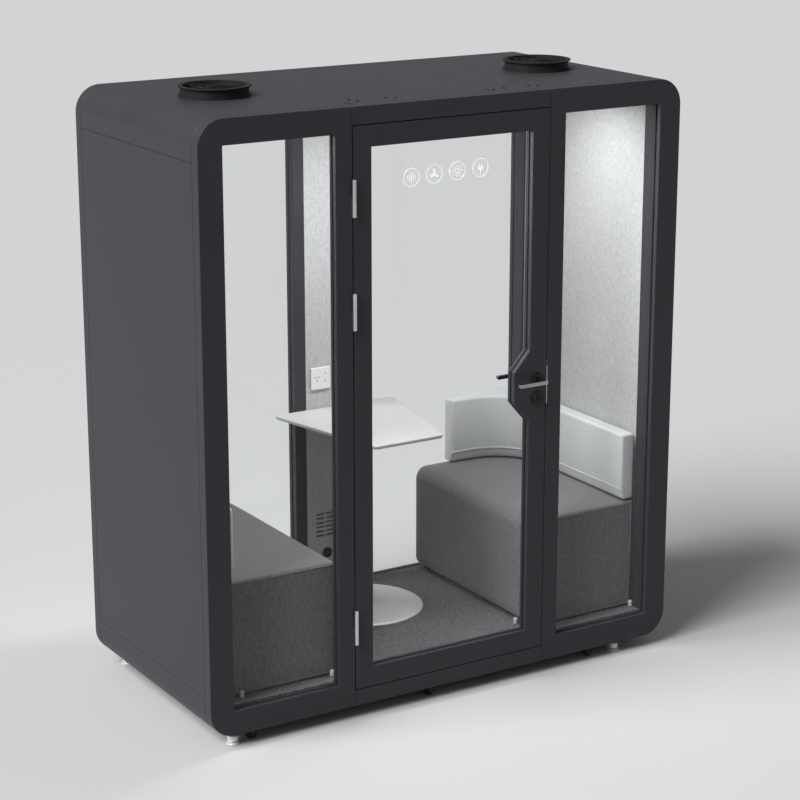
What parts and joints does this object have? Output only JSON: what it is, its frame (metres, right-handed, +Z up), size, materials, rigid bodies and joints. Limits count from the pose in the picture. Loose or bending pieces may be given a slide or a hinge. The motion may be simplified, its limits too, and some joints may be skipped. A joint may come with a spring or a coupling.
{
  "type": "acoustic office pod",
  "caption": "Free-standing acoustic office pod with a rounded steel shell, glazed front and rear, a hinged glass door, felt lining, facing upholstered seats, a fixed table and roof fans.",
  "frame": {"origin": "on the floor, below the centre of the pod's box", "axes": "+Z up, front with the door towards -Y, +X to the right seen from the front"},
  "size_m": [2.01, 1.038, 2.2883],
  "materials": {
    "shell_paint": "dark grey fine-texture powder coat",
    "glass": "clear laminated acoustic glass",
    "felt": "mottled light grey needle felt",
    "carpet": "speckled grey loop carpet",
    "seat_fabric": "dark grey wool upholstery",
    "back_fabric": "light grey wool upholstery",
    "table_laminate": "matt white laminate",
    "white_plastic": "white moulded plastic",
    "black_metal": "matt black coated metal",
    "black_plastic": "black moulded plastic",
    "satin_steel": "satin brushed steel",
    "chrome": "bright plated steel"
  },
  "bodies": {
    "shell": {"base_tray": "shell_paint", "roof_shell": "shell_paint", "left_side_panel": "shell_paint", "right_side_panel": "shell_paint", "front_left_frame": "shell_paint", "front_right_frame": "shell_paint", "rear_left_frame": "shell_paint", "rear_right_frame": "shell_paint", "front_header": "shell_paint", "front_sill": "shell_paint", "rear_column_cover": "shell_paint", "front_left_glass": "glass", "front_right_glass": "glass", "rear_left_glass": "glass", "rear_right_glass": "glass", "rear_column_felt": "felt", "left_wall_felt": "felt", "right_wall_felt": "felt", "ceiling_felt": "felt", "carpet": "carpet", "ceiling_light": "white_plastic", "socket_plate": "white_plastic", "hinge_frame_knuckle_1": "satin_steel", "hinge_frame_knuckle_2": "satin_steel", "hinge_frame_knuckle_3": "satin_steel", "left_seat": "seat_fabric", "right_seat": "seat_fabric", "left_back_pad": "back_fabric", "right_back_pad": "back_fabric", "table_top": "table_laminate", "table_pedestal": "satin_steel", "left_fan_housing": "black_plastic", "right_fan_housing": "black_plastic", "front_left_foot": "chrome", "front_right_foot": "chrome", "rear_left_foot": "chrome", "rear_right_foot": "chrome", "front_roller_fork_1": "black_metal", "front_roller_fork_2": "black_metal", "front_roller_fork_3": "black_metal", "rear_roller_fork_4": "black_metal", "rear_roller_fork_5": "black_metal"},
    "door": {"door_frame": "shell_paint", "door_glass": "glass", "hinge_door_knuckle_1": "satin_steel", "hinge_door_knuckle_2": "satin_steel", "hinge_door_knuckle_3": "satin_steel", "rose_outside": "black_metal", "lock_rose_outside": "black_metal"},
    "handle": {"lever_outside": "black_metal", "lever_inside": "black_metal"},
    "latch": {"latch_bolt": "satin_steel"},
    "lock": {"lock_cylinder": "black_metal"},
    "left_rotor": {"left_fan_rotor": "black_plastic"},
    "right_rotor": {"right_fan_rotor": "black_plastic"},
    "wheel_1": {"front_roller_wheel_1": "black_plastic"},
    "wheel_2": {"front_roller_wheel_2": "black_plastic"},
    "wheel_3": {"front_roller_wheel_3": "black_plastic"},
    "wheel_4": {"rear_roller_wheel_4": "black_plastic"},
    "wheel_5": {"rear_roller_wheel_5": "black_plastic"}
  },
  "joints": [
    {"name": "door_swing", "type": "hinge", "parent": "shell", "child": "door", "pos_m": [-0.4135, -0.4693, 1], "axis": [0, 0, -1], "range_deg": [0, 105]},
    {"name": "handle_turn", "type": "hinge", "parent": "door", "child": "handle", "pos_m": [0.375, -0.461, 1.178], "axis": [0, -1, 0], "range_deg": [0, 45]},
    {"name": "latch_slide", "type": "slide", "parent": "door", "child": "latch", "axis": [-1, 0, 0], "range_m": [0, 0.01]},
    {"name": "lock_turn", "type": "hinge", "parent": "door", "child": "lock", "pos_m": [0.375, -0.461, 1.107], "axis": [0, -1, 0], "range_deg": [0, 90]},
    {"name": "left_fan_spin", "type": "hinge", "parent": "shell", "child": "left_rotor", "pos_m": [-0.687, 0.029, 2.26], "axis": [0, 0, 1], "continuous": true},
    {"name": "right_fan_spin", "type": "hinge", "parent": "shell", "child": "right_rotor", "pos_m": [0.691, 0.029, 2.26], "axis": [0, 0, 1], "continuous": true},
    {"name": "roller_1_roll", "type": "hinge", "parent": "shell", "child": "wheel_1", "pos_m": [-0.82, -0.411, 0.0185], "axis": [0, 1, 0], "continuous": true},
    {"name": "roller_2_roll", "type": "hinge", "parent": "shell", "child": "wheel_2", "pos_m": [-0.065, -0.411, 0.0185], "axis": [0, 1, 0], "continuous": true},
    {"name": "roller_3_roll", "type": "hinge", "parent": "shell", "child": "wheel_3", "pos_m": [0.67, -0.411, 0.0185], "axis": [0, 1, 0], "continuous": true},
    {"name": "roller_4_roll", "type": "hinge", "parent": "shell", "child": "wheel_4", "pos_m": [-0.82, 0.469, 0.0185], "axis": [0, 1, 0], "continuous": true},
    {"name": "roller_5_roll", "type": "hinge", "parent": "shell", "child": "wheel_5", "pos_m": [0.67, 0.469, 0.0185], "axis": [0, 1, 0], "continuous": true}
  ],
  "couplings": [
    {"joint": "latch_slide", "follows": "handle_turn", "m_per_rad": 0.012732}
  ]
}
